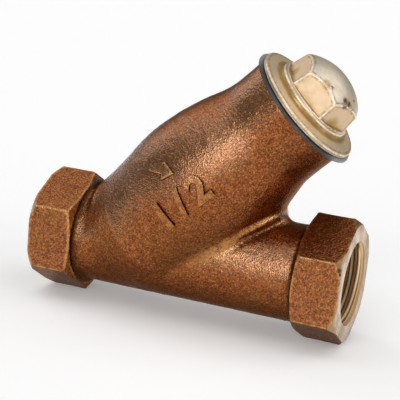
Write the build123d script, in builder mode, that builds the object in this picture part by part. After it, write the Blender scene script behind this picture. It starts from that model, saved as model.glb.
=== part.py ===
# Cast bronze y-strainer for 1/2 inch pipe: threaded hex ends on a straight run, and a bulging
# branch at 45 degrees that holds a tubular screen behind a screwed brass cap.
# Millimetres. The origin is the centre of the inlet's end face, +X is the flow, +Z is up and
# the branch leans over the outlet in the XZ plane. Heights t run out along the branch axis.
import os
from math import cos, pi, radians, sin

from build123d import *

# Run and hex ends
face_to_face = 82.5
run_radius = 12.3
hex_flats = 28.0
hex_depth = 10.8
hex_face_radius = 14.6
hex_front_chamfer = 1.6
hex_back_bevel = 1.1
hex_back_radius = 13.6
hex_root_fillet = 1.0

# Pipe ports: the bore is the major diameter of the 1/2 inch pipe thread
port_radius = 10.48
port_depth = 11.5
passage_radius = 8.5

# Branch, outside
branch_angle = 45.0
branch_foot_x = 24.4
foot_height = 13.5
shoulder_t = 4.5
shoulder_radius = 17.2
belly_t = 23.0
belly_radius = 18.8
waist_t = 41.5
waist_wall = 4.1
collar_t = waist_t + 8.5
collar_wall = 2.6
collar_top_t = collar_t + 7.6
collar_edge_round = 0.4
crotch_fillet = 3.0
casting_offset = 0.4

# Branch, inside
cap_thread_depth = 13.6
chamber_wall = 3.2
chamber_floor_inset = 1.0
seat_wall = 4.2
seat_t = 8.0
seat_pocket_depth = 1.2
seat_radius = 8.4

# Gasket and cap
gasket_overhang = 1.35
gasket_thickness = 0.6
gasket_top_round = 0.35
gasket_foot_round = 0.15
flange_overhang = 0.25
flange_rim = 1.35
flange_lift = 0.3
flange_seat_inset = 0.9
flange_bevel = 0.75
flange_round = 0.35
neck_wall = 0.7
neck_height = 1.0
neck_chamfer = 0.6
head_flats = 18.4
head_draft = 8.0
dome_radius = 14.2
dome_half_angle = 60
crown_allowance = 1.0
cap_height = 12.0
spigot_wall = 1.65
spigot_length = 9.6
spigot_chamfer = 1.0
relief_depth = 0.9
relief_width = 1.4
thread_clearance = 0.05
gasket_clearance = 0.3

# Screen
screen_radius = 9.4
sheet_thickness = 0.5
mesh_thickness = 0.3
ring_wall = 0.55
ring_height = 4.0
ring_lip = 0.6
screen_clearance = 0.3
fit_gap = 0.05
hole_radius = 1.15
drill_length = 2.0
holes_per_row = 12
hole_rows = 8

# Edges of a known radius are picked within this much
same_radius = 0.01

# Directions and planes of the branch
foot = Vector(branch_foot_x, 0, 0)
outward = Vector(cos(radians(branch_angle)), 0, sin(radians(branch_angle)))
aside = Vector(-sin(radians(branch_angle)), 0, cos(radians(branch_angle)))
branch_axis = Axis(foot, outward)
branch_section = Plane(origin=foot, x_dir=aside, z_dir=(0, 1, 0))
casting_foot = foot + aside * casting_offset
casting_section = Plane(origin=casting_foot, x_dir=aside, z_dir=(0, 1, 0))


def branch_plane(t):
    """Plane across the branch at height t, with its local X along the part's Y."""
    return Plane(origin=foot + outward * t, x_dir=(0, 1, 0), z_dir=outward)


# Radii that follow from the screen: the cap, its thread and the collar are built round it
ring_radius = screen_radius + fit_gap + ring_wall
mesh_radius = screen_radius - sheet_thickness - fit_gap
pocket_radius = ring_radius + screen_clearance
spigot_radius = pocket_radius + spigot_wall
neck_radius = pocket_radius + neck_wall
cap_thread_radius = spigot_radius + thread_clearance
waist_radius = cap_thread_radius + waist_wall
collar_radius = cap_thread_radius + collar_wall
flange_radius = collar_radius + flange_overhang
gasket_radius = flange_radius + gasket_overhang

# Heights that follow from the sizes above
gasket_top_t = collar_top_t + gasket_thickness
flange_top_t = gasket_top_t + flange_rim + flange_bevel
neck_top_t = flange_top_t + neck_height
cap_top_t = gasket_top_t + cap_height
spigot_end_t = gasket_top_t - spigot_length
thread_root_t = collar_top_t - cap_thread_depth
seat_top_t = seat_t + seat_pocket_depth
seat_back_t = seat_top_t - seat_wall
screen_top_t = flange_top_t
recess_top_t = screen_top_t + screen_clearance
hex_corner_radius = hex_flats / 2 / cos(pi / 6)
head_corner_radius = head_flats / 2 / cos(pi / 6)

# One hex end: a hexagon with flats to the front and back, turned at both faces
with BuildPart() as hex_end:
    with BuildSketch(Plane.YZ):
        RegularPolygon(hex_corner_radius, 6, rotation=90)
    extrude(amount=hex_depth + hex_back_bevel)
    with BuildSketch(Plane.XY):
        with BuildLine():
            Polyline(
                (0, 0),
                (0, hex_face_radius),
                (hex_front_chamfer, hex_corner_radius),
                (hex_depth, hex_corner_radius),
                (hex_depth + hex_back_bevel, hex_back_radius),
                (hex_depth + hex_back_bevel, 0),
                close=True,
            )
        make_face()
    revolve(axis=Axis.X, mode=Mode.INTERSECT)

# Chamber inside the belly, from the screen's seat up to the cap's thread
with BuildPart() as chamber:
    with BuildSketch(branch_section):
        with BuildLine():
            floor_radius = shoulder_radius - chamber_wall - chamber_floor_inset
            floor = Line((0, seat_top_t), (floor_radius, seat_top_t))
            Spline(
                floor @ 1,
                (belly_radius - chamber_wall, belly_t),
                (waist_radius - chamber_wall, waist_t),
                (cap_thread_radius, thread_root_t),
            )
            Polyline((cap_thread_radius, thread_root_t), (0, thread_root_t), floor @ 0)
        make_face()
    revolve(axis=branch_axis)

# Space under the seat, that the inlet opens into
with BuildPart() as inlet_space:
    with BuildSketch(Plane.YZ):
        Circle(passage_radius)
    extrude(amount=face_to_face)
    split(bisect_by=branch_plane(seat_back_t), keep=Keep.BOTTOM)

# Space past the screen, that leads to the outlet
with BuildPart() as outlet_space:
    with BuildSketch(Plane.YZ):
        Circle(passage_radius)
    extrude(amount=face_to_face)
    split(bisect_by=branch_plane(seat_top_t), keep=Keep.TOP)

# Body: one bronze casting with its ports, seat and cap thread machined
with BuildPart() as body:
    with BuildSketch(Plane.YZ):
        Circle(run_radius)
    extrude(amount=face_to_face)
    with BuildSketch(casting_section):
        with BuildLine():
            foot_curve = EllipticalCenterArc(
                (0, shoulder_t), shoulder_radius, foot_height, start_angle=270, arc_size=90
            )
            Spline(
                foot_curve @ 1,
                (belly_radius, belly_t),
                (waist_radius, waist_t),
                (collar_radius, collar_t),
                tangents=[(0, 1), (0, 1)],
            )
            Polyline(
                (collar_radius, collar_t),
                (collar_radius, collar_top_t),
                (0, collar_top_t),
                foot_curve @ 0,
            )
        make_face()
    revolve(axis=Axis(casting_foot, outward))
    joins = body.edges().filter_by(GeomType.BSPLINE)
    fillet(joins, radius=crotch_fillet)
    add(hex_end.part)
    add(hex_end.part.mirror(Plane.YZ).moved(Location((face_to_face, 0, 0))))
    roots = body.edges().filter_by(GeomType.CIRCLE).filter_by(
        lambda e: abs(e.radius - run_radius) < same_radius
    )
    fillet(roots, radius=hex_root_fillet)
    fillet(body.edges().filter_by(
        lambda e: e.geom_type == GeomType.CIRCLE
        and abs(e.radius - collar_radius) < same_radius
        and abs((e.arc_center - foot).dot(outward) - collar_top_t) < same_radius
    ), radius=collar_edge_round)
    add(chamber.part, mode=Mode.SUBTRACT)
    add(inlet_space.part, mode=Mode.SUBTRACT)
    add(outlet_space.part, mode=Mode.SUBTRACT)
    with BuildSketch(Plane.YZ, Plane.YZ.offset(face_to_face - port_depth)):
        Circle(port_radius)
    extrude(amount=port_depth, mode=Mode.SUBTRACT)
    with BuildSketch(branch_plane(thread_root_t)):
        Circle(cap_thread_radius)
    extrude(amount=cap_thread_depth, mode=Mode.SUBTRACT)
    with BuildSketch(branch_plane(seat_t)):
        Circle(pocket_radius)
    extrude(amount=seat_pocket_depth, mode=Mode.SUBTRACT)
    with BuildSketch(branch_plane(0)):
        Circle(seat_radius)
    extrude(amount=seat_t, mode=Mode.SUBTRACT)

# Cap gasket: a grey fibre ring that stands out past the collar and the flange
with BuildPart() as cap_gasket:
    with BuildSketch(branch_plane(collar_top_t)):
        Circle(gasket_radius)
        Circle(cap_thread_radius + gasket_clearance, mode=Mode.SUBTRACT)
    extrude(amount=gasket_thickness)
    rims = cap_gasket.edges().filter_by(GeomType.CIRCLE).filter_by(
        lambda e: abs(e.radius - gasket_radius) < same_radius
    )
    fillet(rims.sort_by(branch_axis)[-1], radius=gasket_top_round)
    fillet(rims.sort_by(branch_axis)[0], radius=gasket_foot_round)

# Head of the cap: a drafted hexagon under a domed crown
with BuildPart() as cap_head:
    with BuildSketch(branch_plane(flange_top_t)):
        RegularPolygon(head_corner_radius, 6, rotation=30)
    extrude(amount=cap_top_t - flange_top_t + crown_allowance, taper=head_draft)
    with BuildSketch(branch_section):
        with BuildLine():
            crown = CenterArc((0, cap_top_t - dome_radius), dome_radius, 90, -dome_half_angle)
            Polyline(crown @ 1, ((crown @ 1).X, flange_top_t), (0, flange_top_t), crown @ 0)
        make_face()
    revolve(axis=branch_axis, mode=Mode.INTERSECT)

# Cap: forged brass, with a threaded spigot, a bevelled flange and a round neck under the head
with BuildPart() as cap:
    with BuildSketch(branch_section):
        with BuildLine():
            Polyline(
                (0, spigot_end_t),
                (spigot_radius - spigot_chamfer, spigot_end_t),
                (spigot_radius, spigot_end_t + spigot_chamfer),
                (spigot_radius, gasket_top_t - relief_width),
                (spigot_radius - relief_depth, gasket_top_t - relief_width),
                (spigot_radius - relief_depth, gasket_top_t),
                (flange_radius - flange_seat_inset, gasket_top_t),
                (flange_radius, gasket_top_t + flange_lift),
                (flange_radius, gasket_top_t + flange_rim),
                (neck_radius, flange_top_t),
                (neck_radius, neck_top_t),
                (neck_radius - neck_chamfer, neck_top_t + neck_chamfer),
                (0, neck_top_t + neck_chamfer),
                close=True,
            )
        make_face()
    revolve(axis=branch_axis)
    rim = cap.edges().filter_by(GeomType.CIRCLE).filter_by(
        lambda e: abs(e.radius - flange_radius) < same_radius
    )
    fillet(rim, radius=flange_round)
    add(cap_head.part)
    with BuildSketch(branch_plane(spigot_end_t)):
        Circle(pocket_radius)
    extrude(amount=recess_top_t - spigot_end_t, mode=Mode.SUBTRACT)


def screen_ring(bottom_t, top_t, lip_t):
    """Profile of an end ring: a band round the screen with a lip over the sheet's edge."""
    with BuildSketch(branch_section) as profile:
        with BuildLine():
            Polyline(
                (seat_radius, lip_t),
                (seat_radius, bottom_t),
                (ring_radius, bottom_t),
                (ring_radius, top_t),
                (screen_radius + fit_gap, top_t),
                (screen_radius + fit_gap, lip_t),
                close=True,
            )
        make_face()
    return profile.sketch


# Screen: a perforated steel tube, lined with woven mesh and held by a ring at each end
with BuildPart() as screen_foot_ring:
    add(screen_ring(seat_t, seat_t + ring_height, seat_t + ring_lip))
    revolve(axis=branch_axis)

with BuildPart() as screen_head_ring:
    add(screen_ring(screen_top_t, screen_top_t - ring_height, screen_top_t - ring_lip))
    revolve(axis=branch_axis)

with BuildPart() as screen_mesh:
    with BuildSketch(branch_plane(seat_t + ring_lip)):
        Circle(mesh_radius)
        Circle(mesh_radius - mesh_thickness, mode=Mode.SUBTRACT)
    extrude(amount=screen_top_t - seat_t - 2 * ring_lip)

with BuildPart() as screen_tube:
    with BuildSketch(branch_plane(seat_t + ring_lip)):
        Circle(screen_radius)
        Circle(screen_radius - sheet_thickness, mode=Mode.SUBTRACT)
    extrude(amount=screen_top_t - seat_t - 2 * ring_lip)
    free_start = seat_t + ring_height
    row_pitch = (screen_top_t - seat_t - 2 * ring_height) / hole_rows
    for row in range(hole_rows):
        row_t = free_start + row_pitch * (row + 0.5)
        start = 180 / holes_per_row * (row % 2 + 0.5)
        with Locations(branch_plane(row_t)):
            with PolarLocations(screen_radius, holes_per_row, start_angle=start):
                Cylinder(hole_radius, drill_length, rotation=(0, 90, 0), mode=Mode.SUBTRACT)

body.part.label = "body"
cap.part.label = "cap"
cap_gasket.part.label = "cap_gasket"
screen_tube.part.label = "screen_tube"
screen_mesh.part.label = "screen_mesh"
screen_foot_ring.part.label = "screen_foot_ring"
screen_head_ring.part.label = "screen_head_ring"

os.makedirs("parts", exist_ok=True)
export_step(body.part, "parts/body.step")
export_step(cap.part, "parts/cap.step")
export_step(cap_gasket.part, "parts/cap_gasket.step")
export_step(screen_tube.part, "parts/screen_tube.step")
export_step(screen_mesh.part, "parts/screen_mesh.step")
export_step(screen_foot_ring.part, "parts/screen_foot_ring.step")
export_step(screen_head_ring.part, "parts/screen_head_ring.step")
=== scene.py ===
"""Dresses a 1/2 inch y-strainer: a rough cast bronze body with machined ports, a forged brass cap
on a fibre gasket, and the perforated steel screen inside. Metres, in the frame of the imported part:
the run lies along X from the inlet's face at the origin, and the branch leans over the outlet."""
from math import cos, pi, radians, sin, sqrt, tan

import bmesh
import bpy
import numpy as np
from mathutils import Matrix, Vector, noise
from mathutils.bvhtree import BVHTree
from mathutils.kdtree import KDTree


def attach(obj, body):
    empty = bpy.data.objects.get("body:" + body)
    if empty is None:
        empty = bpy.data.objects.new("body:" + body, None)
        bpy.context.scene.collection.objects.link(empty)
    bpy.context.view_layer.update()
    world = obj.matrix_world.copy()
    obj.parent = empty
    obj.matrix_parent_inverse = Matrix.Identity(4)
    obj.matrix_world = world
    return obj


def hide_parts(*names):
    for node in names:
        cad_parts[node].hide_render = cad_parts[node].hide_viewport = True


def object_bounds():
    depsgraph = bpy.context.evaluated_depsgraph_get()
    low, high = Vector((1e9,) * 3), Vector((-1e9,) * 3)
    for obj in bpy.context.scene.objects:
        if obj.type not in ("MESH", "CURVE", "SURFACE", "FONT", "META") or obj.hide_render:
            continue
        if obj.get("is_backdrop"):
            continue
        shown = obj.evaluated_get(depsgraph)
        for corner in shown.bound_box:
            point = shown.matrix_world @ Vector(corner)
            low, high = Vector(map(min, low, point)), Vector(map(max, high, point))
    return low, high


bl_info = {
    "name": "Cast Y-Strainer",
    "version": (1, 0, 0),
    "blender": (4, 5, 0),
    "location": "View3D > Sidebar > Strainer",
    "description": "Dresses a cast bronze y-strainer with its cap, threads, marks and screen",
    "category": "Object",
}

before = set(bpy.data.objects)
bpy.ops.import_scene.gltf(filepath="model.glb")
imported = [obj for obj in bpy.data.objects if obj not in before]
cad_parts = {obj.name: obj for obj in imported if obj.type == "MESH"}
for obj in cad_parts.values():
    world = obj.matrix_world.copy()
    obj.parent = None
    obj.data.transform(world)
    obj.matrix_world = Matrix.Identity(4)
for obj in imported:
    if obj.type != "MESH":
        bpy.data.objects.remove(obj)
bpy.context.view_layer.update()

ALONG_RUN = Vector((1, 0, 0))
UP = Vector((0, 0, 1))


class StrainerSizes(bpy.types.PropertyGroup):
    """Sizes of the casting, the threads and the cap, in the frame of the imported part."""

    foot_x: bpy.props.FloatProperty(
        name="Branch foot", description="Where the branch axis crosses the run axis",
        default=0.0244, precision=4, unit="LENGTH")
    lean: bpy.props.FloatProperty(
        name="Branch lean", description="Angle between the branch and the run",
        default=radians(45), subtype="ANGLE")
    run_length: bpy.props.FloatProperty(
        name="Face to face", description="Length of the run from inlet face to outlet face",
        default=0.0825, precision=4, unit="LENGTH")
    hex_depth: bpy.props.FloatProperty(
        name="Hexagon depth", description="Length of each hexagon end along the run",
        default=0.0119, precision=4, unit="LENGTH")
    chamfer_depth: bpy.props.FloatProperty(
        name="Chamfer depth", description="How far the turned chamfer reaches back from a face",
        default=0.0016, precision=4, unit="LENGTH")
    port_radius: bpy.props.FloatProperty(
        name="Port radius", description="Radius of the pipe thread at its roots",
        default=0.01048, precision=5, unit="LENGTH")
    port_depth: bpy.props.FloatProperty(
        name="Port depth", description="Depth of the pipe thread from the face",
        default=0.0115, precision=4, unit="LENGTH")
    port_lead_in: bpy.props.FloatProperty(
        name="Port lead-in", description="Plain band between the face and the first thread",
        default=0.0005, precision=4, unit="LENGTH")
    pipe_pitch: bpy.props.FloatProperty(
        name="Pipe thread pitch", description="Fourteen turns an inch",
        default=0.001814, precision=6, unit="LENGTH")
    pipe_thread_height: bpy.props.FloatProperty(
        name="Pipe thread height", description="From the root of the pipe thread to its crest",
        default=0.00116, precision=5, unit="LENGTH")
    collar_top: bpy.props.FloatProperty(
        name="Collar top", description="Height of the collar's machined face along the branch",
        default=0.0576, precision=4, unit="LENGTH")
    cap_bore_radius: bpy.props.FloatProperty(
        name="Cap bore radius", description="Radius of the branch thread at its roots",
        default=0.0120, precision=5, unit="LENGTH")
    cap_bore_bottom: bpy.props.FloatProperty(
        name="Cap bore bottom", description="Height where the branch thread starts",
        default=0.0440, precision=4, unit="LENGTH")
    spigot_bottom: bpy.props.FloatProperty(
        name="Spigot bottom", description="Height of the cap spigot's lower end",
        default=0.0486, precision=4, unit="LENGTH")
    spigot_relief: bpy.props.FloatProperty(
        name="Spigot relief", description="Height where the spigot's plain neck starts",
        default=0.0568, precision=4, unit="LENGTH")
    spigot_root_radius: bpy.props.FloatProperty(
        name="Spigot root radius", description="Radius of the cap thread at its roots",
        default=0.01107, precision=5, unit="LENGTH")
    flange_radius: bpy.props.FloatProperty(
        name="Flange radius", description="Radius of the cap's flange in the packed part",
        default=0.01485, precision=5, unit="LENGTH")
    flange_foot: bpy.props.FloatProperty(
        name="Flange foot", description="Radius where the flange starts to spread",
        default=0.0125, precision=4, unit="LENGTH")
    flange_spread: bpy.props.FloatProperty(
        name="Flange spread", description="How far the forging pushed the flange's rim out",
        default=0.00060, precision=5, unit="LENGTH")
    cap_pitch: bpy.props.FloatProperty(
        name="Cap thread pitch", description="The cap rises this much in one turn",
        default=0.0015, precision=5, unit="LENGTH")
    casting_grain: bpy.props.FloatProperty(
        name="Casting mesh", description="Longest edge of the casting's mesh",
        default=0.0008, precision=5, unit="LENGTH")
    cap_grain: bpy.props.FloatProperty(
        name="Cap mesh", description="Longest edge of the cap's mesh",
        default=0.0003, precision=5, unit="LENGTH")
    mark_height: bpy.props.FloatProperty(
        name="Mark height", description="How far the raised marks stand out of the casting",
        default=0.00065, precision=5, unit="LENGTH")


class StrainerFinish(bpy.types.PropertyGroup):
    """Colours of the metals and the gasket, linear."""

    bronze_dark: bpy.props.FloatVectorProperty(
        name="Bronze, dark", description="Brown of the cast skin where it is deepest",
        default=(0.165, 0.040, 0.011), subtype="COLOR", size=3)
    bronze_mid: bpy.props.FloatVectorProperty(
        name="Bronze, middle", description="Orange brown of the cast skin",
        default=(0.370, 0.114, 0.034), subtype="COLOR", size=3)
    # Also mixed in as the painted highlight on worn edges, the crotch ridge, its shoulder and
    # up-facing skin.
    bronze_light: bpy.props.FloatVectorProperty(
        name="Bronze, light", description="Golden tips of the sand grain",
        default=(0.700, 0.370, 0.110), subtype="COLOR", size=3)
    machined: bpy.props.FloatVectorProperty(
        name="Machined bronze", description="Pale metal of the turned faces",
        default=(0.710, 0.560, 0.400), subtype="COLOR", size=3)
    brass: bpy.props.FloatVectorProperty(
        name="Brass", description="Pale brass of the forged cap",
        default=(0.850, 0.740, 0.590), subtype="COLOR", size=3)
    # Also the golden painted shade in the cap's groove and hollows.
    brass_stain_and_shade: bpy.props.FloatVectorProperty(
        name="Brass stain", description="Golden brown stain in the cap's corners",
        default=(0.440, 0.270, 0.080), subtype="COLOR", size=3)
    fibre: bpy.props.FloatVectorProperty(
        name="Gasket fibre", description="Grey of the gasket",
        default=(0.225, 0.235, 0.235), subtype="COLOR", size=3)
    steel: bpy.props.FloatVectorProperty(
        name="Screen steel", description="Stainless steel of the screen",
        default=(0.560, 0.560, 0.545), subtype="COLOR", size=3)


class StudioSettings(bpy.types.PropertyGroup):
    """The camera and the light."""

    azimuth: bpy.props.FloatProperty(
        name="Camera azimuth", description="Turn of the camera from the front towards the outlet",
        default=radians(20.7525), subtype="ANGLE")
    elevation: bpy.props.FloatProperty(
        name="Camera elevation", description="Height of the camera above the run",
        default=radians(12.9639), subtype="ANGLE")
    roll: bpy.props.FloatProperty(
        name="Camera roll", description="Turn of the camera about its own view",
        default=radians(5.549), subtype="ANGLE")
    distance: bpy.props.FloatProperty(
        name="Camera distance", description="From the camera to the point it looks at",
        default=0.29027, precision=4, unit="LENGTH")
    target: bpy.props.FloatVectorProperty(
        name="Camera target", description="The point that the camera looks at",
        default=(0.04081, 0.0, 0.013715), subtype="TRANSLATION", size=3)
    lens: bpy.props.FloatProperty(
        name="Lens", description="Focal length in millimetres on a 36 mm sensor",
        default=103.217, min=1)
    sky: bpy.props.FloatProperty(
        name="Sky", description="Strength of the even light from all round",
        default=0.15, min=0)
    key: bpy.props.FloatProperty(
        name="Key lamp", description="Strength of the soft lamp in front and a little to the left",
        default=0.90, min=0)
    top: bpy.props.FloatProperty(
        name="Top lamp", description="Strength of the soft lamp overhead",
        default=0.80, min=0)
    side: bpy.props.FloatProperty(
        name="Side lamp", description="Strength of the soft lamp above and behind the cap",
        default=0.80, min=0)
    left: bpy.props.FloatProperty(
        name="Left lamp", description="Strength of the soft lamp on the inlet's side",
        default=0.32, min=0)
    outlet: bpy.props.FloatProperty(
        name="Outlet lamp", description="Strength of the soft lamp that looks into the outlet",
        default=0.70, min=0)
    glow: bpy.props.FloatProperty(
        name="Floor glow", description="How much whiter the floor looks than the lamps make it",
        default=0.19, min=0)


GROUPS = {
    "strainer_sizes": StrainerSizes,
    "strainer_finish": StrainerFinish,
    "strainer_studio": StudioSettings,
}

PHOTO_SIDE = 400


def branch_directions(sizes):
    """Outward along the branch, and across it towards the inlet."""
    outward = Vector((cos(sizes.lean), 0, sin(sizes.lean)))
    aside = Vector((-sin(sizes.lean), 0, cos(sizes.lean)))
    return outward, aside


def branch_height_and_radius(sizes, point):
    """Height of a point along the branch, and its distance from the branch axis."""
    outward, aside = branch_directions(sizes)
    offset = point - Vector((sizes.foot_x, 0, 0))
    return offset.dot(outward), sqrt(offset.dot(aside) ** 2 + point.y ** 2)


def smooth_step(low, high, value):
    """0 below low, 1 above high, and a soft rise between."""
    share = min(max((value - low) / (high - low), 0.0), 1.0)
    return share * share * (3 - 2 * share)


def camera_axes(studio):
    """The camera's right, up and backward directions."""
    back = Vector((
        sin(studio.azimuth) * cos(studio.elevation),
        -cos(studio.azimuth) * cos(studio.elevation),
        sin(studio.elevation),
    ))
    level_right = UP.cross(back).normalized()
    level_up = back.cross(level_right)
    right = level_right * cos(studio.roll) + level_up * sin(studio.roll)
    return right, back.cross(right), back


def pixel_ray(studio, pixel):
    """Where the camera stands, and the direction it sees through a pixel of the photograph."""
    right, up, back = camera_axes(studio)
    focal = studio.lens / 36 * PHOTO_SIDE
    across = pixel[0] - PHOTO_SIDE / 2
    down = pixel[1] - PHOTO_SIDE / 2
    eye = Vector(studio.target) + back * studio.distance
    return eye, (right * across - up * down - back * focal).normalized()


def point_under_pixel(studio, tree, pixel):
    """Point of a surface that the camera sees at a pixel of the photograph."""
    eye, direction = pixel_ray(studio, pixel)
    hit = tree.ray_cast(eye, direction)
    if hit[0] is None:
        raise ValueError(f"nothing lies under pixel {pixel}")
    return hit[0]


def merged_copy(node_name):
    """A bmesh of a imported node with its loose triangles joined."""
    bm = bmesh.new()
    bm.from_mesh(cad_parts[node_name].data)
    bmesh.ops.remove_doubles(bm, verts=bm.verts, dist=2e-6)
    bm.normal_update()
    return bm


def refine(bm, limit, wanted=None):
    """Halves the edges that are longer than the limit until none is left."""
    for _ in range(8):
        long_edges = [
            e for e in bm.edges
            if e.calc_length() > limit and (wanted is None or wanted(e))
        ]
        if not long_edges:
            break
        bmesh.ops.subdivide_edges(bm, edges=long_edges, cuts=1)
        bmesh.ops.triangulate(bm, faces=[f for f in bm.faces if len(f.verts) > 3])
    bm.normal_update()


def piece_from(bm, name, body, materials):
    """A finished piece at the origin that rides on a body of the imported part."""
    mesh = bpy.data.meshes.new(name)
    bm.to_mesh(mesh)
    bm.free()
    for material in materials:
        mesh.materials.append(material)
    piece = bpy.data.objects.new(name, mesh)
    bpy.context.scene.collection.objects.link(piece)
    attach(piece, body)
    return piece


def shade(bm, sharp_angle):
    """Smooth faces with sharp edges where two faces meet at more than the angle."""
    for face in bm.faces:
        face.smooth = True
    for edge in bm.edges:
        edge.smooth = not edge.is_manifold or edge.calc_face_angle(0) < sharp_angle


def add_node(tree, kind, inputs=None, **settings):
    """A shader node with its settings, and its inputs set or linked."""
    node = tree.nodes.new(kind)
    for name, value in settings.items():
        setattr(node, name, value)
    for name, value in (inputs or {}).items():
        if isinstance(value, bpy.types.NodeSocket):
            tree.links.new(value, node.inputs[name])
        else:
            node.inputs[name].default_value = value
    return node


def new_material(name, metallic, roughness):
    """A material with its surface shader and its object coordinates."""
    material = bpy.data.materials.new(name)
    material.use_nodes = True
    tree = material.node_tree
    surface = tree.nodes["Principled BSDF"]
    surface.inputs["Metallic"].default_value = metallic
    surface.inputs["Roughness"].default_value = roughness
    place = add_node(tree, "ShaderNodeTexCoord").outputs["Object"]
    return material, tree, surface, place


def grain(tree, place, size, detail=2.0, roughness=0.5, distortion=0.0):
    """Noise whose lumps are about the given size in metres."""
    return add_node(
        tree, "ShaderNodeTexNoise",
        {"Vector": place, "Scale": 1 / size, "Detail": detail, "Roughness": roughness,
         "Distortion": distortion},
    ).outputs["Fac"]


def math(tree, operation, first, second=None, clamp=False):
    """One step of arithmetic between two shader values."""
    inputs = {0: first}
    if second is not None:
        inputs[1] = second
    return add_node(
        tree, "ShaderNodeMath", inputs, operation=operation, use_clamp=clamp
    ).outputs[0]


def between(tree, value, low, high, to_low=0.0, to_high=1.0):
    """A value mapped smoothly from one range to another."""
    return add_node(
        tree, "ShaderNodeMapRange",
        {"Value": value, "From Min": low, "From Max": high, "To Min": to_low,
         "To Max": to_high},
        interpolation_type="SMOOTHSTEP",
    ).outputs["Result"]


def mix_colour(tree, share, first, second, blend="MIX"):
    """Two colours mixed by a share."""
    node = tree.nodes.new("ShaderNodeMix")
    node.data_type = "RGBA"
    node.blend_type = blend
    for socket, value in ((node.inputs[0], share), (node.inputs[6], first),
                          (node.inputs[7], second)):
        if isinstance(value, bpy.types.NodeSocket):
            tree.links.new(value, socket)
        elif isinstance(value, float):
            socket.default_value = value
        else:
            socket.default_value = (*value, 1)
    return node.outputs[2]


def bump(tree, height, distance, strength=1.0, under=None):
    """Bump from a height between 0 and 1, over another bump where one is given."""
    inputs = {"Height": height, "Distance": distance, "Strength": strength}
    if under is not None:
        inputs["Normal"] = under
    return add_node(tree, "ShaderNodeBump", inputs).outputs["Normal"]


def near_point(tree, place, point, inner, outer):
    """1 near a point of the piece, falling to 0 at the outer distance."""
    distance = add_node(
        tree, "ShaderNodeVectorMath", {0: place, 1: tuple(point)}, operation="DISTANCE"
    ).outputs["Value"]
    return between(tree, distance, outer, inner)


def cast_bronze(finish):
    """Sand-cast bronze: fine grain in a brown skin, painted shade in hollows, along creases, behind
    the hexagons, round the marks and underneath, pale worn edges with a painted highlight, and
    painted highlights along the crotch and on the shoulders.
    """
    material, tree, surface, place = new_material("cast bronze", 0.92, 0.30)
    sand = grain(tree, place, 0.00038, detail=1.0, roughness=0.5)
    pebble = grain(tree, place, 0.00130, detail=2.0, roughness=0.5)
    cloud = grain(tree, place, 0.0150, detail=2.0, roughness=0.5)
    worn_and_highlit = add_node(tree, "ShaderNodeAttribute", attribute_name="wear_and_highlight").outputs["Fac"]
    painted_shade = add_node(tree, "ShaderNodeAttribute", attribute_name="painted_shade").outputs["Fac"]
    gloss_and_highlight = add_node(tree, "ShaderNodeAttribute", attribute_name="gloss_and_highlight").outputs["Fac"]
    ambient_occlusion = add_node(
        tree, "ShaderNodeAmbientOcclusion", {"Distance": 0.0050}, samples=6, only_local=True
    ).outputs["AO"]
    nook = add_node(
        tree, "ShaderNodeAmbientOcclusion", {"Distance": 0.0011}, samples=6, only_local=False
    ).outputs["AO"]
    tone = math(tree, "ADD", math(tree, "MULTIPLY", sand, 0.65),
                math(tree, "MULTIPLY", pebble, 0.35))
    skin = mix_colour(tree, between(tree, tone, 0.35, 0.63),
                      tuple(finish.bronze_dark), tuple(finish.bronze_mid))
    skin = mix_colour(tree, between(tree, cloud, 0.45, 0.70, 0.0, 0.20), skin,
                      (0.340, 0.150, 0.030))
    # painted highlight: up-facing skin is mixed towards the light bronze
    skin = mix_colour(tree, math(tree, "MULTIPLY", gloss_and_highlight, 0.18), skin,
                      tuple(finish.bronze_light))
    skin = mix_colour(tree, between(tree, sand, 0.57, 0.72, 0.0, 0.34), skin,
                      tuple(finish.bronze_light))
    skin = mix_colour(tree, between(tree, sand, 0.42, 0.28, 0.0, 0.38), skin,
                      (0.070, 0.018, 0.005))
    # worn edges with a painted highlight, and painted highlights along the crotch ridge, its
    # shoulder and the tops of the marks
    rubbed_and_highlit = math(tree, "MULTIPLY", worn_and_highlit, between(tree, pebble, 0.32, 0.60, 0.30, 1.0))
    skin = mix_colour(tree, math(tree, "MULTIPLY", rubbed_and_highlit, 0.80), skin,
                      tuple(finish.bronze_light))
    # painted shade: darker in hollows and nooks, along the crotch crease, behind the hexagons, round
    # the marks and on skin that faces down
    painted_shade_mask = math(tree, "MAXIMUM", between(tree, ambient_occlusion, 0.78, 0.40, 0.0, 0.70),
                 between(tree, nook, 0.86, 0.45, 0.0, 0.90))
    painted_shade_mask = math(tree, "MAXIMUM", painted_shade_mask, math(tree, "MULTIPLY", painted_shade, 0.85))
    skin = mix_colour(tree, painted_shade_mask, skin, (0.050, 0.014, 0.005))
    tree.links.new(skin, surface.inputs["Base Color"])
    tree.links.new(between(tree, sand, 0.35, 0.65, 0.31, 0.23), surface.inputs["Roughness"])
    tree.links.new(math(tree, "MULTIPLY", gloss_and_highlight, between(tree, painted_shade, 0.0, 0.7, 1.0, 0.1)),
                   surface.inputs["Coat Weight"])
    surface.inputs["Coat Roughness"].default_value = 0.20
    surface.inputs["Coat IOR"].default_value = 1.60
    surface.inputs["Specular Tint"].default_value = (0.70, 0.56, 0.48, 1)
    relief = bump(tree, pebble, 0.00010, 0.8)
    relief = bump(tree, sand, 0.00012, 1.0, relief)
    tree.links.new(relief, surface.inputs["Normal"])
    tree.links.new(relief, surface.inputs["Coat Normal"])
    return material


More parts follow.
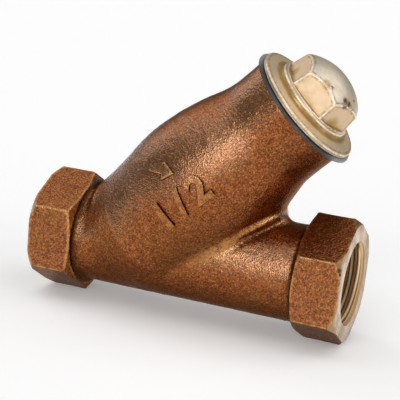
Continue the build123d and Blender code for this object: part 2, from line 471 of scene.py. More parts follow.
def machined_bronze(finish, sizes, dents):
    """Turned metal: pale, with fine rings round the run, a little tarnish, dark spots at some dents,
    and painted shade in its hollows and towards the back and bottom.
    """
    material, tree, surface, place = new_material("machined bronze", 0.9, 0.3)
    parts = add_node(tree, "ShaderNodeSeparateXYZ", {"Vector": place})
    across = add_node(tree, "ShaderNodeCombineXYZ",
                      {"Y": parts.outputs["Y"], "Z": parts.outputs["Z"]}).outputs[0]
    radius = add_node(tree, "ShaderNodeVectorMath", {0: across}, operation="LENGTH"
                      ).outputs["Value"]
    turning = add_node(tree, "ShaderNodeCombineXYZ",
                       {"X": parts.outputs["X"], "Y": radius}).outputs[0]
    rings = grain(tree, turning, 0.00022, detail=2.0)
    tarnish = grain(tree, place, 0.0035, detail=3.0, roughness=0.6)
    metal = mix_colour(tree, between(tree, tarnish, 0.38, 0.68, 0.0, 0.70),
                       tuple(finish.machined), (0.40, 0.25, 0.13))
    # painted shade in the hollows
    ambient_occlusion = add_node(
        tree, "ShaderNodeAmbientOcclusion", {"Distance": 0.0022}, samples=8, only_local=False
    ).outputs["AO"]
    metal = mix_colour(tree, between(tree, ambient_occlusion, 0.80, 0.35, 0.0, 0.85), metal,
                       (0.240, 0.105, 0.040))
    from_middle = math(tree, "ABSOLUTE", math(tree, "SUBTRACT", parts.outputs["X"],
                                              sizes.run_length / 2))
    metal = mix_colour(tree, math(tree, "MULTIPLY", between(tree, radius, 0.0124, 0.0138), between(
        tree, tarnish, 0.35, 0.65, 0.25, 0.70)), metal, (0.360, 0.200, 0.095))
    # painted shade: darker towards the back and the bottom
    shaded = math(tree, "MAXIMUM", between(tree, parts.outputs["Y"], 0.002, 0.011, 0.0, 0.6),
                  between(tree, parts.outputs["Z"], -0.004, -0.012, 0.0, 0.5))
    metal = mix_colour(tree, shaded, metal, (0.330, 0.210, 0.115))
    chamfer = math(tree, "MULTIPLY", between(tree, radius, 0.0130, 0.0136), between(
        tree, from_middle, sizes.run_length / 2 - 0.0002, sizes.run_length / 2 - 0.0005))
    metal = mix_colour(tree, math(tree, "MULTIPLY", chamfer, between(
        tree, tarnish, 0.35, 0.65, 0.45, 0.85)), metal, (0.300, 0.150, 0.065))
    darkening = None
    for point, size in dents:
        spot = math(tree, "MULTIPLY", near_point(tree, place, point, size * 0.3, size),
                    between(tree, tarnish, 0.30, 0.50, 0.5, 1.0))
        darkening = spot if darkening is None else math(tree, "MAXIMUM", darkening, spot)
    metal = mix_colour(tree, darkening, metal, (0.090, 0.050, 0.022))
    tree.links.new(metal, surface.inputs["Base Color"])
    tree.links.new(between(tree, tarnish, 0.3, 0.7, 0.24, 0.4), surface.inputs["Roughness"])
    tree.links.new(bump(tree, rings, 0.00004, 0.7), surface.inputs["Normal"])
    return material


def tapped_bronze(finish, sizes):
    """Cut pipe thread: brown flanks, a painted highlight along its crests and in the bottom of its
    roots, painted shade down into its roots, which are duller, and a golden band at its mouth.
    """
    material, tree, surface, place = new_material("tapped bronze", 0.65, 0.42)
    parts = add_node(tree, "ShaderNodeSeparateXYZ", {"Vector": place})
    across = add_node(tree, "ShaderNodeCombineXYZ",
                      {"Y": parts.outputs["Y"], "Z": parts.outputs["Z"]}).outputs[0]
    radius = add_node(tree, "ShaderNodeVectorMath", {0: across}, operation="LENGTH"
                      ).outputs["Value"]
    tarnish = grain(tree, place, 0.0030, detail=3.0, roughness=0.6)
    crest = sizes.port_radius - sizes.pipe_thread_height
    depth = between(tree, radius, crest + 0.00008, sizes.port_radius - 0.0001)
    flank = mix_colour(tree, between(tree, tarnish, 0.35, 0.7), (0.440, 0.230, 0.080),
                       (0.260, 0.120, 0.040))
    # painted highlight along the crests, painted shade lower down, and a painted highlight again in
    # the bottom of the roots
    metal = mix_colour(tree, between(tree, depth, 0.0, 0.30), (1.000, 0.800, 0.520), flank)
    metal = mix_colour(tree, between(tree, depth, 0.35, 0.60, 0.0, 0.9), metal,
                       (0.110, 0.042, 0.014))
    metal = mix_colour(tree, between(tree, depth, 0.78, 0.96, 0.0, 0.9), metal,
                       (0.800, 0.560, 0.290))
    from_middle = math(tree, "ABSOLUTE", math(tree, "SUBTRACT", parts.outputs["X"],
                                              sizes.run_length / 2))
    mouth = between(tree, from_middle, sizes.run_length / 2 - sizes.port_lead_in - 0.0005,
                    sizes.run_length / 2 - sizes.port_lead_in)
    metal = mix_colour(tree, mouth, metal, (0.800, 0.560, 0.290))
    tree.links.new(metal, surface.inputs["Base Color"])
    tree.links.new(between(tree, depth, 0.0, 1.0, 0.34, 0.5), surface.inputs["Roughness"])
    return material


def along_branch(tree, place, sizes):
    """Height along the branch axis, and the place across it."""
    moved = add_node(
        tree, "ShaderNodeMapping",
        {"Vector": place, "Location": (-sizes.foot_x, 0, 0)}, vector_type="POINT",
    ).outputs[0]
    turned = add_node(
        tree, "ShaderNodeMapping",
        {"Vector": moved, "Rotation": (0, sizes.lean - pi / 2, 0)}, vector_type="POINT",
    ).outputs[0]
    parts = add_node(tree, "ShaderNodeSeparateXYZ", {"Vector": turned})
    return parts.outputs["Z"], parts.outputs["X"], parts.outputs["Y"]


def forged_brass(finish, sizes, pits, stains):
    """Forged brass: pale crown, beige flats, golden stains, golden painted shade in its groove and
    hollows, painted shade beside its edges, dark pits, and worn bright edges with a painted
    highlight.
    """
    material, tree, surface, place = new_material("forged brass", 0.80, 0.42)
    height, across, sideways = along_branch(tree, place, sizes)
    radius = math(tree, "SQRT", math(tree, "ADD", math(tree, "MULTIPLY", across, across),
                                     math(tree, "MULTIPLY", sideways, sideways)))
    cloud = grain(tree, place, 0.0040, detail=4.0, roughness=0.65)
    skin_grain = grain(tree, place, 0.0005, detail=3.0, roughness=0.6)
    ragged = grain(tree, place, 0.0009, detail=3.0, roughness=0.7)
    facing = add_node(tree, "ShaderNodeAttribute", attribute_name="facing").outputs["Fac"]
    from_edge = add_node(tree, "ShaderNodeAttribute", attribute_name="from_edge").outputs["Fac"]
    ambient_occlusion = add_node(
        tree, "ShaderNodeAmbientOcclusion", {"Distance": 0.0030}, samples=6, only_local=True
    ).outputs["AO"]
    beige = (0.740, 0.545, 0.350)
    golden = tuple(finish.brass_stain_and_shade)
    flange_top = sizes.collar_top + 0.0027
    crown = math(tree, "MULTIPLY", between(tree, facing, 0.25, 0.60), between(
        tree, height, flange_top + 0.0020, flange_top + 0.0040))
    metal = mix_colour(tree, between(tree, height, flange_top + 0.0006, flange_top + 0.0002),
                       beige, (0.900, 0.690, 0.430))
    metal = mix_colour(tree, crown, metal, tuple(finish.brass))
    metal = mix_colour(tree, between(tree, cloud, 0.42, 0.72, 0.0, 0.45), metal,
                       (0.620, 0.440, 0.270))
    rim = between(tree, height, sizes.collar_top + 0.0022, sizes.collar_top + 0.0017)
    metal = mix_colour(tree, math(tree, "MULTIPLY", rim, between(
        tree, ragged, 0.35, 0.60, 0.45, 0.95)), metal, (0.400, 0.230, 0.085))
    # golden painted shade in the groove above the flange and in the hollows, with real golden stains
    # at points
    groove = math(tree, "MULTIPLY", between(tree, radius, 0.0126, 0.0118),
                  between(tree, height, flange_top + 0.0007, flange_top + 0.0002))
    stain_and_shade = math(tree, "MAXIMUM", math(tree, "MULTIPLY", groove, between(
        tree, cloud, 0.30, 0.60, 0.55, 0.95)), math(
        tree, "MULTIPLY", between(tree, ambient_occlusion, 0.92, 0.50),
        between(tree, cloud, 0.30, 0.60, 0.45, 1.0)))
    for point, size in stains:
        spot = near_point(tree, place, point, size * 0.3, size)
        stain_and_shade = math(tree, "MAXIMUM", stain_and_shade, math(
            tree, "MULTIPLY", spot, between(tree, ragged, 0.3, 0.6, 0.45, 0.9)))
    metal = mix_colour(tree, stain_and_shade, metal, golden)
    # painted shade in a band beside the edges
    shade_beside_edges = math(tree, "MULTIPLY", between(tree, from_edge, 0.00022, 0.00045),
                  between(tree, from_edge, 0.00095, 0.00050))
    metal = mix_colour(tree, math(tree, "MULTIPLY", shade_beside_edges, between(
        tree, ragged, 0.42, 0.60, 0.05, 0.75)), metal, (0.300, 0.190, 0.085))
    # worn bright edges with a painted highlight
    worn_and_highlit = math(tree, "MULTIPLY", between(tree, from_edge, 0.00034, 0.00012),
                between(tree, ragged, 0.38, 0.58, 0.10, 0.85))
    metal = mix_colour(tree, worn_and_highlit, metal, (0.980, 0.910, 0.790))
    darkening = None
    for point, size in pits:
        spot = math(tree, "MULTIPLY", near_point(tree, place, point, size * 0.35, size),
                    between(tree, ragged, 0.36, 0.56))
        darkening = spot if darkening is None else math(tree, "MAXIMUM", darkening, spot)
    metal = mix_colour(tree, math(tree, "MULTIPLY", darkening, 0.85), metal,
                       (0.060, 0.035, 0.018))
    tree.links.new(metal, surface.inputs["Base Color"])
    tree.links.new(between(tree, cloud, 0.3, 0.7, 0.36, 0.50), surface.inputs["Roughness"])
    relief = bump(tree, skin_grain, 0.00005, 0.8)
    relief = bump(tree, math(tree, "SUBTRACT", 1.0, darkening), 0.00025, 0.8, relief)
    tree.links.new(relief, surface.inputs["Normal"])
    return material


def gasket_fibre(finish):
    """Pressed grey fibre with short strands, darker towards the front."""
    material, tree, surface, place = new_material("gasket fibre", 0.0, 0.75)
    strands = grain(tree, place, 0.0005, detail=4.0, roughness=0.7, distortion=1.5)
    cloud = grain(tree, place, 0.004, detail=2.0)
    front = add_node(tree, "ShaderNodeSeparateXYZ", {"Vector": place}).outputs["Y"]
    light = tuple(min(channel * 1.9, 1.0) for channel in finish.fibre)
    tone = math(tree, "ADD", math(tree, "MULTIPLY", strands, 0.7),
                math(tree, "MULTIPLY", cloud, 0.3))
    fibre = mix_colour(tree, between(tree, tone, 0.35, 0.7), tuple(finish.fibre), light)
    darkening = math(tree, "MULTIPLY", between(tree, front, -0.004, -0.011),
                between(tree, tone, 0.40, 0.60, 1.0, 0.80))
    tree.links.new(mix_colour(tree, darkening, fibre, (0.030, 0.024, 0.019)),
                   surface.inputs["Base Color"])
    tree.links.new(bump(tree, strands, 0.00008, 0.8), surface.inputs["Normal"])
    return material


def screen_steel(finish):
    """Drawn stainless sheet with faint scratches."""
    material, tree, surface, place = new_material("screen steel", 0.95, 0.3)
    scratches = grain(tree, place, 0.0006, detail=3.0, roughness=0.6)
    cloud = grain(tree, place, 0.006, detail=2.0)
    dull = tuple(channel * 0.7 for channel in finish.steel)
    tree.links.new(mix_colour(tree, between(tree, cloud, 0.35, 0.7), tuple(finish.steel), dull),
                   surface.inputs["Base Color"])
    tree.links.new(between(tree, scratches, 0.3, 0.7, 0.24, 0.42), surface.inputs["Roughness"])
    tree.links.new(bump(tree, scratches, 0.00003, 0.5), surface.inputs["Normal"])
    return material


def woven_mesh(finish, sizes):
    """Fine woven wire: threads round the branch axis and along it."""
    material, tree, surface, place = new_material("woven steel mesh", 0.9, 0.35)
    height, across, sideways = along_branch(tree, place, sizes)
    round_axis = math(tree, "ARCTAN2", sideways, across)
    wires_round = 140
    wire_spacing = 0.0004
    warp = math(tree, "SINE", math(tree, "MULTIPLY", round_axis, float(wires_round)))
    weft = math(tree, "SINE", math(tree, "MULTIPLY", height, 2 * pi / wire_spacing))
    weave = between(tree, math(tree, "MAXIMUM", warp, weft), -0.6, 1.0)
    dark = tuple(channel * 0.12 for channel in finish.steel)
    tree.links.new(mix_colour(tree, weave, dark, tuple(finish.steel)),
                   surface.inputs["Base Color"])
    tree.links.new(bump(tree, weave, 0.0001, 0.9), surface.inputs["Normal"])
    return material


def bare_tree(node_name):
    """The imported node's surface, for rays."""
    bm = merged_copy(node_name)
    tree = BVHTree.FromBMesh(bm)
    bm.free()
    return tree


CAST, MACHINED, TAPPED = 0, 1, 2


def is_machined(sizes, face):
    """True for the end faces, chamfers, ports, collar face, branch thread and seat."""
    centre = face.calc_center_median()
    from_end = min(centre.x, sizes.run_length - centre.x)
    on_run = sqrt(centre.y ** 2 + centre.z ** 2)
    height, from_branch = branch_height_and_radius(sizes, centre)
    if from_end < sizes.chamfer_depth and abs(face.normal.x) > 0.3:
        return True
    if from_end < sizes.port_depth + 1e-4 and on_run < sizes.port_radius + 1e-4:
        return True
    if height > sizes.collar_top - 1e-4:
        return True
    return height > sizes.cap_bore_bottom - 1e-4 and from_branch < sizes.cap_bore_radius + 1e-4


def is_tapped(sizes, face):
    """True for the walls of the ports, where the pipe threads run."""
    centre = face.calc_center_median()
    from_end = min(centre.x, sizes.run_length - centre.x)
    return (from_end < sizes.port_depth and abs(face.normal.x) < 0.1
            and sqrt(centre.y ** 2 + centre.z ** 2) < sizes.port_radius + 1e-4)


def outer_skin(sizes, bm):
    """Faces of the casting's outside: all that join up without crossing a machined face."""
    start = max((f for f in bm.faces if f.material_index == CAST),
                key=lambda f: -f.calc_center_median().y)
    found = {start}
    edge_of_growth = [start]
    while edge_of_growth:
        face = edge_of_growth.pop()
        for edge in face.edges:
            for other in edge.link_faces:
                if other not in found and other.material_index == CAST:
                    found.add(other)
                    edge_of_growth.append(other)
    return found


def along_path(point, path):
    """Distance from a point to a path of straight runs, and how far along the path it is."""
    nearest = (1.0, 0.0)
    for index, (a, b) in enumerate(zip(path, path[1:])):
        share = min(max((point - a).dot(b - a) / (b - a).length_squared, 0), 1)
        distance = (point - a.lerp(b, share)).length
        nearest = min(nearest, (distance, (index + share) / (len(path) - 1)))
    return nearest


def near_path(verts, path, width):
    """The vertices within a width of a path, each with its distance and its way along it."""
    middle = sum(path, Vector()) / len(path)
    reach = max((point - middle).length for point in path) + width
    for vert in verts:
        if (vert.co - middle).length < reach:
            distance, way = along_path(vert.co, path)
            if distance < width:
                yield vert, distance, way


def press_crease(verts, path, depth, width, layer, amount):
    """Presses a groove that fades out along a path, or raises a ridge by a depth below 0, and paints
    a layer along it with painted shade or a painted highlight.
    """
    for vert, distance, way in list(near_path(verts, path, width)):
        share = ((1 - smooth_step(0, width, distance)) * smooth_step(-0.05, 0.15, way)
                 * (1 - smooth_step(0.35, 1.0, way)))
        vert.co -= vert.normal * depth * share
        vert[layer] = max(vert[layer], amount * share)


def corner_points(bm, least_angle, spacing, wanted):
    """Points along the wanted edges where two faces meet at more than an angle."""
    points = []
    for edge in bm.edges:
        if edge.is_manifold and edge.calc_face_angle(0) > least_angle and wanted(edge):
            a, b = (v.co for v in edge.verts)
            count = max(int((b - a).length / spacing), 1)
            points += [a.lerp(b, i / count) for i in range(count + 1)]
    return points


def tree_of(points):
    """A search tree of points."""
    tree = KDTree(len(points))
    for index, point in enumerate(points):
        tree.insert(point, index)
    tree.balance()
    return tree


def even_out(shares, rounds, factors=(0.5,)):
    """Moves vertices towards the middle of their neighbours, each by its share.

    A second factor below 0 pushes them back out, so that a form keeps its size.
    """
    edges = list({edge for vert in shares for edge in vert.link_edges})
    verts = list({vert for edge in edges for vert in edge.verts})
    number = {vert: index for index, vert in enumerate(verts)}
    pairs = np.array([[number[vert] for vert in edge.verts] for edge in edges])
    targets, sources = np.concatenate((pairs, pairs[:, ::-1])).T
    neighbours = np.bincount(targets, minlength=len(verts))[:, None]
    places = np.array([vert.co for vert in verts])
    share = np.array([shares.get(vert, 0.0) for vert in verts])[:, None]
    for _ in range(rounds):
        for factor in factors:
            middle = np.stack([
                np.bincount(targets, weights=places[sources, axis], minlength=len(verts))
                for axis in range(3)
            ], axis=1) / neighbours
            places += (middle - places) * share * factor
    for vert, place in zip(verts, places):
        vert.co = place


def gloss_and_highlight_of(normal):
    """How glossy a skin is, and how much painted highlight it gets: most on its shoulders, little
    underneath.
    """
    return (0.05 + 0.95 * smooth_step(-0.10, 0.32, normal.z)
            * (1 - 0.9 * smooth_step(0.45, 0.80, normal.z)))


CREASE_PIXELS = ((281, 224), (262, 232), (247, 239), (234, 248), (220, 257))
RIDGE_PIXELS = ((282, 215), (272, 219), (258, 226), (243, 234), (228, 243), (212, 251))
SHOULDER_PIXELS = ((240, 244), (222, 249), (204, 252), (186, 256), (168, 262))
DENT_PIXELS = (((339, 271), 0.0009), ((340, 275), 0.0006), ((337, 258), 0.0005),
               ((338, 315), 0.0007))
FOOT_PIXELS = ((90, 208), (92, 224), (97, 240), (104, 256), (114, 268), (125, 277), (137, 284))


class STRAINER_OT_casting(bpy.types.Operator):
    """Replace the body by a rough casting with machined ends"""

    bl_idname = "strainer.casting"
    bl_label = "Casting"

    def execute(self, context):
        sizes = context.scene.strainer_sizes
        studio = context.scene.strainer_studio
        tree = bare_tree("body")
        bm = merged_copy("body")
        wear_and_highlight = bm.verts.layers.float.new("wear_and_highlight")
        painted_shade = bm.verts.layers.float.new("painted_shade")
        gloss_and_highlight = bm.verts.layers.float.new("gloss_and_highlight")
        for face in bm.faces:
            face.material_index = MACHINED if is_machined(sizes, face) else CAST
        corners = corner_points(bm, radians(20), 0.0002, lambda e: e.is_convex)
        dents = [(point_under_pixel(studio, tree, pixel), size) for pixel, size in DENT_PIXELS]
        refine(bm, sizes.casting_grain)
        skin = outer_skin(sizes, bm)
        border = {v for f in bm.faces if f.material_index == MACHINED for v in f.verts}
        free = list({v for f in skin for v in f.verts} - border)

        def in_zone(vert, from_hex, below_collar):
            return (
                sizes.hex_depth + from_hex < vert.co.x
                < sizes.run_length - sizes.hex_depth - from_hex
                and branch_height_and_radius(sizes, vert.co)[0] < sizes.collar_top - below_collar
            )

        in_and_out = (0.5, -0.52)
        even_out({v: 1.0 for v in free if in_zone(v, 0.0018, 0.007)}, 8, in_and_out)
        core = [v for v in free if in_zone(v, 0.0030, 0.012)]
        even_out({v: 1.0 for v in core}, 30, in_and_out)
        even_out({v: smooth_step(0.006, 0.009, -v.co.z) for v in core}, 12)

        def both_sides(pixels):
            near_side = [point_under_pixel(studio, tree, pixel) for pixel in pixels]
            return near_side, [Vector((p.x, -p.y, p.z)) for p in near_side]

        for foot in both_sides(FOOT_PIXELS):
            even_out({v: 1 - smooth_step(0.002, 0.007, distance)
                      for v, distance, way in near_path(core, foot, 0.0070)}, 400)
        even_out({v: 1.0 for v in free}, 1)
        bm.normal_update()

        # painted shade along the crotch crease, painted highlight along the ridge above it and the
        # shoulder beside it
        for pixels, depth, width, layer, amount in (
                (CREASE_PIXELS, 0.00050, 0.0014, painted_shade, 0.75),
                (RIDGE_PIXELS, -0.00060, 0.0016, wear_and_highlight, 0.75),
                (SHOULDER_PIXELS, -0.00020, 0.0042, wear_and_highlight, 0.60)):
            for path in both_sides(pixels):
                press_crease(core, path, depth, width, layer, amount)
        bm.normal_update()

        lump, pebble = 0.0030, 0.0010
        for vert in free:
            rise = noise.noise(vert.co / lump) * 0.00006 + noise.noise(vert.co / pebble) * 0.00004
            vert.co += vert.normal * (rise - 0.00006)
        bm.normal_update()

        # pale worn convex corners, which also carry a painted highlight
        worn_and_highlit = tree_of(corners)
        for vert in bm.verts:
            vert[wear_and_highlight] = max(
                vert[wear_and_highlight], 1 - smooth_step(0.00010, 0.00055, worn_and_highlit.find(vert.co)[2]))
            # painted shade just behind each hexagon and on skin that faces down
            past_hex = min(vert.co.x, sizes.run_length - vert.co.x) - sizes.hex_depth
            if past_hex > -0.0002 and sqrt(vert.co.y ** 2 + vert.co.z ** 2) < 0.0136:
                vert[painted_shade] = max(vert[painted_shade], 1 - smooth_step(0.0003, 0.0017, past_hex))
            vert[painted_shade] = max(vert[painted_shade], 0.72 * smooth_step(0.0, 0.8, -vert.normal.z))
            vert[gloss_and_highlight] = gloss_and_highlight_of(vert.normal)
        for face in bm.faces:
            if face.material_index == MACHINED and is_tapped(sizes, face):
                face.material_index = TAPPED
        shade(bm, radians(75))
        for edge in bm.edges:
            kinds = {f.material_index for f in edge.link_faces}
            if len(kinds) == 2 or CAST not in kinds and edge.calc_face_angle(0) > radians(25):
                edge.smooth = False
        finish = context.scene.strainer_finish
        casting = piece_from(bm, "casting", "valve",
                             [cast_bronze(finish), machined_bronze(finish, sizes, dents),
                              tapped_bronze(finish, sizes)])
        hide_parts("body")
        return {"FINISHED"}


def thread_ridge(origin, along, side, start, length, pitch, wall, crest, wall_half,
                 crest_half):
    """A right-hand ridge that winds along an axis, from a side, and fades at both ends."""
    steps_a_turn = 48
    profile = 4
    sunk = wall + (wall - crest) * 0.06
    bm = bmesh.new()
    ring = [
        bm.verts.new((radius, 0, start + offset))
        for radius, offset in ((sunk, -wall_half), (crest, -crest_half),
                               (crest, crest_half), (sunk, wall_half))
    ]
    edges = [bm.edges.new((ring[i], ring[(i + 1) % profile])) for i in range(profile)]
    steps = round(length / pitch * steps_a_turn)
    bmesh.ops.spin(
        bm, geom=ring + edges, cent=(0, 0, 0), axis=(0, 0, 1),
        dvec=(0, 0, pitch / steps_a_turn), angle=2 * pi * steps / steps_a_turn, steps=steps,
        use_duplicate=False,
    )
    bm.verts.ensure_lookup_table()
    fade = steps_a_turn // 6
    for index, vert in enumerate(bm.verts):
        step = index // profile
        share = smooth_step(0, fade, min(step, steps - step))
        radius = sqrt(vert.co.x ** 2 + vert.co.y ** 2)
        wanted = sunk + (radius - sunk) * max(share, 0.02)
        vert.co.x *= wanted / radius
        vert.co.y *= wanted / radius
    bmesh.ops.holes_fill(bm, edges=[e for e in bm.edges if e.is_boundary])
    bmesh.ops.recalc_face_normals(bm, faces=bm.faces)
    turn = Matrix((side, along.cross(side), along)).transposed().to_4x4()
    bm.transform(Matrix.Translation(origin) @ turn)
    shade(bm, radians(25))
    return bm


class STRAINER_OT_threads(bpy.types.Operator):
    """Wind the threads in both ports, in the branch and on the cap's spigot"""

    bl_idname = "strainer.threads"
    bl_label = "Threads"

    def execute(self, context):
        sizes = context.scene.strainer_sizes
        metal = bpy.data.materials["machined bronze"]
        cut = bpy.data.materials["tapped bronze"]
        pitch = sizes.pipe_pitch
        wall = sizes.port_radius
        ends = (
            ("inlet_thread", Vector((0, 0, 0)), ALONG_RUN),
            ("outlet_thread", Vector((sizes.run_length, 0, 0)), -ALONG_RUN),
        )
        for name, origin, along in ends:
            bm = thread_ridge(
                origin, along, UP, pitch * 0.48, sizes.port_depth - pitch, pitch, wall,
                wall - sizes.pipe_thread_height, pitch * 0.47, pitch * 0.06)
            piece_from(bm, name, "valve", [cut])

        outward, aside = branch_directions(sizes)
        foot = Vector((sizes.foot_x, 0, 0))
        pitch = sizes.cap_pitch
        bore, root = sizes.cap_bore_radius, sizes.spigot_root_radius
        bm = thread_ridge(
            foot, outward, aside, sizes.cap_bore_bottom + pitch * 0.5,
            sizes.collar_top - sizes.cap_bore_bottom - pitch, pitch, bore,
            root + 0.00012, pitch * 0.43, pitch * 0.12)
        piece_from(bm, "branch_thread", "valve", [metal])
        bm = thread_ridge(
            foot, outward, aside, sizes.cap_bore_bottom + pitch * 4,
            sizes.spigot_relief - sizes.cap_bore_bottom - pitch * 4, pitch, root,
            bore - 0.00012, pitch * 0.33, pitch * 0.04)
        piece_from(bm, "spigot_thread", "closure", [bpy.data.materials["forged brass"]])
        return {"FINISHED"}


PIT_PIXELS = (((346, 101), 0.0011), ((350, 105), 0.0013), ((345, 107), 0.0010),
              ((354, 101), 0.0006), ((333, 88), 0.0007), ((352, 109), 0.0008))
STAIN_PIXELS = (((294, 72), 0.0022), ((331, 126), 0.0032), ((327, 84), 0.0018),
                ((347, 104), 0.0020))


class STRAINER_OT_cap(bpy.types.Operator):
    """Replace the cap by a forged one with rounded edges and a threaded spigot"""

    bl_idname = "strainer.cap"
    bl_label = "Cap"

    def execute(self, context):
        sizes = context.scene.strainer_sizes
        studio = context.scene.strainer_studio
        tree = bare_tree("cap")
        pits = [(point_under_pixel(studio, tree, pixel), size) for pixel, size in PIT_PIXELS]
        stains = [(point_under_pixel(studio, tree, pixel), size) for pixel, size in STAIN_PIXELS]
        bm = merged_copy("cap")
        outward, aside = branch_directions(sizes)
        foot = Vector((sizes.foot_x, 0, 0))
        for vert in bm.verts:
            height, radius = branch_height_and_radius(sizes, vert.co)
            if height < sizes.spigot_relief + 1e-5 and radius > sizes.spigot_root_radius:
                on_axis = foot + outward * height
                vert.co = on_axis + (vert.co - on_axis) * sizes.spigot_root_radius / radius
        bmesh.ops.remove_doubles(bm, verts=bm.verts, dist=2e-6)
        for vert in bm.verts:
            height, radius = branch_height_and_radius(sizes, vert.co)
            if height > sizes.collar_top and radius > sizes.flange_foot:
                on_axis = foot + outward * height
                spread = sizes.flange_spread * smooth_step(
                    sizes.flange_foot, sizes.flange_radius, radius)
                vert.co += (vert.co - on_axis) * spread / radius
        bm.normal_update()
        corners = tree_of(corner_points(bm, radians(18), 0.00015, lambda e: e.is_convex and
                          branch_height_and_radius(sizes, e.verts[0].co)[0]
                          > sizes.collar_top + 0.0008))
        refine(bm, sizes.cap_grain, lambda e: branch_height_and_radius(
            sizes, e.verts[0].co)[0] > sizes.spigot_relief)
        outside = [
            v for v in bm.verts
            if branch_height_and_radius(sizes, v.co)[0] > sizes.collar_top + 0.0007
            and branch_height_and_radius(sizes, v.co)[1] > 0.0105
            or branch_height_and_radius(sizes, v.co)[0] > sizes.collar_top + 0.0034
        ]
        bmesh.ops.smooth_vert(bm, verts=outside, factor=0.4,
                              use_axis_x=True, use_axis_y=True, use_axis_z=True)
        bm.normal_update()
        for vert in outside:
            vert.co += vert.normal * (noise.noise(vert.co / 0.0021) * 0.00003 - 0.00002)
        bm.normal_update()
        facing = bm.verts.layers.float.new("facing")
        from_edge = bm.verts.layers.float.new("from_edge")
        for vert in bm.verts:
            vert[facing] = vert.normal.dot(outward)
            vert[from_edge] = min(corners.find(vert.co)[2], 0.01)
        shade(bm, radians(40))
        finish = context.scene.strainer_finish
        cap = piece_from(bm, "forged_cap", "closure",
                         [forged_brass(finish, sizes, pits, stains)])
        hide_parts("cap")
        return {"FINISHED"}


SIZE_MARK = "1/2"
SIZE_MARK_PIXEL = (181, 204)
ARROW_PIXEL = (162, 171)


def settle_on(bm, tree, centre, right, up, top_height):
    """Lays a flat mark on a surface: its plane becomes the skin, its Z the rise above it. Its top
    gets wear with a painted highlight, its sides painted shade.
    """
    away = right.cross(up).normalized()
    wear_and_highlight = bm.verts.layers.float.new("wear_and_highlight")
    painted_shade = bm.verts.layers.float.new("painted_shade")
    gloss_and_highlight = bm.verts.layers.float.new("gloss_and_highlight")
    for vert in bm.verts:
        above = centre + right * vert.co.x + up * vert.co.y + away * 0.02
        hit = tree.ray_cast(above, -away)
        if hit[0] is None:
            raise ValueError("a mark reaches past the casting")
        on_top = vert.co.z > top_height * 0.6
        # wear with a painted highlight on the top, painted shade on the sides
        vert[wear_and_highlight] = 0.35 if on_top else 0
        vert[painted_shade] = 0 if on_top else 1
        vert[gloss_and_highlight] = gloss_and_highlight_of(hit[1])
        vert.co = hit[0] + hit[1] * vert.co.z
    bmesh.ops.recalc_face_normals(bm, faces=bm.faces)


def raised(bm, height, sunk, round_edge):
    """Turns flat faces into a block from below the skin to the height, with rounded edges."""
    bmesh.ops.remove_doubles(bm, verts=bm.verts, dist=1e-6)
    top = bmesh.ops.extrude_face_region(bm, geom=list(bm.faces))["geom"]
    top_verts = {v for v in top if isinstance(v, bmesh.types.BMVert)}
    for vert in bm.verts:
        vert.co.z = height if vert in top_verts else -sunk
    rim = [
        e for e in bm.edges
        if all(v in top_verts for v in e.verts) and e.is_manifold
        and e.calc_face_angle(0) > radians(45)
    ]
    bmesh.ops.bevel(bm, geom=rim, offset=round_edge, offset_type="OFFSET", segments=2,
                    profile=0.5, affect="EDGES", material=-1, clamp_overlap=True)
    bmesh.ops.triangulate(bm, faces=bm.faces)


class STRAINER_OT_marks(bpy.types.Operator):
    """Raise the pipe size and the flow arrow on the front of the branch"""

    bl_idname = "strainer.marks"
    bl_label = "Raised marks"

    def execute(self, context):
        sizes = context.scene.strainer_sizes
        studio = context.scene.strainer_studio
        casting = bpy.data.objects["casting"]
        source = bmesh.new()
        source.from_mesh(casting.data)
        tree = BVHTree.FromBMesh(source)
        source.free()
        outward, aside = branch_directions(sizes)
        skin = bpy.data.materials["cast bronze"]

        letters = bpy.data.curves.new("size mark", "FONT")
        letters.body = SIZE_MARK
        letters.size = 0.0092
        letters.space_character = 1.45
        letters.offset = 0.00035
        letters.align_x = "CENTER"
        letters.align_y = "CENTER"
        letters.resolution_u = 5
        holder = bpy.data.objects.new("size mark", letters)
        context.scene.collection.objects.link(holder)
        flat = bpy.data.meshes.new_from_object(
            holder.evaluated_get(context.evaluated_depsgraph_get()))
        bpy.data.objects.remove(holder)
        bm = bmesh.new()
        bm.from_mesh(flat)
        bpy.data.meshes.remove(flat)
        bmesh.ops.remove_doubles(bm, verts=bm.verts, dist=1e-6)
        raised(bm, sizes.mark_height, 0.0004, 0.00026)
        refine(bm, 0.0007)
        settle_on(bm, tree, point_under_pixel(studio, tree, SIZE_MARK_PIXEL),
                  outward, aside, sizes.mark_height)
        shade(bm, radians(50))
        piece_from(bm, "size_mark", "valve", [skin])

        bm = bmesh.new()
        half_length, half_head, half_stem = 0.0036, 0.0022, 0.0008
        corners = ((-half_length, half_stem), (-half_length, -half_stem), (0.0004, -half_stem),
                   (0.0004, -half_head), (half_length, 0), (0.0004, half_head),
                   (0.0004, half_stem))
        bm.faces.new([bm.verts.new((x, y, 0)) for x, y in corners])
        bmesh.ops.triangulate(bm, faces=bm.faces)
        raised(bm, sizes.mark_height, 0.0004, 0.00026)
        refine(bm, 0.0007)
        settle_on(bm, tree, point_under_pixel(studio, tree, ARROW_PIXEL), ALONG_RUN, UP,
                  sizes.mark_height)
        shade(bm, radians(50))
        piece_from(bm, "flow_arrow", "valve", [skin])
        return {"FINISHED"}


def refinish(node_name, material):
    """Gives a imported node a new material."""
    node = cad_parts[node_name]
    node.data.materials.clear()
    node.data.materials.append(material)


class STRAINER_OT_gasket(bpy.types.Operator):
    """Finish the gasket in pressed fibre"""

    bl_idname = "strainer.gasket"
    bl_label = "Gasket"

    def execute(self, context):
        refinish("cap_gasket", gasket_fibre(context.scene.strainer_finish))
        return {"FINISHED"}


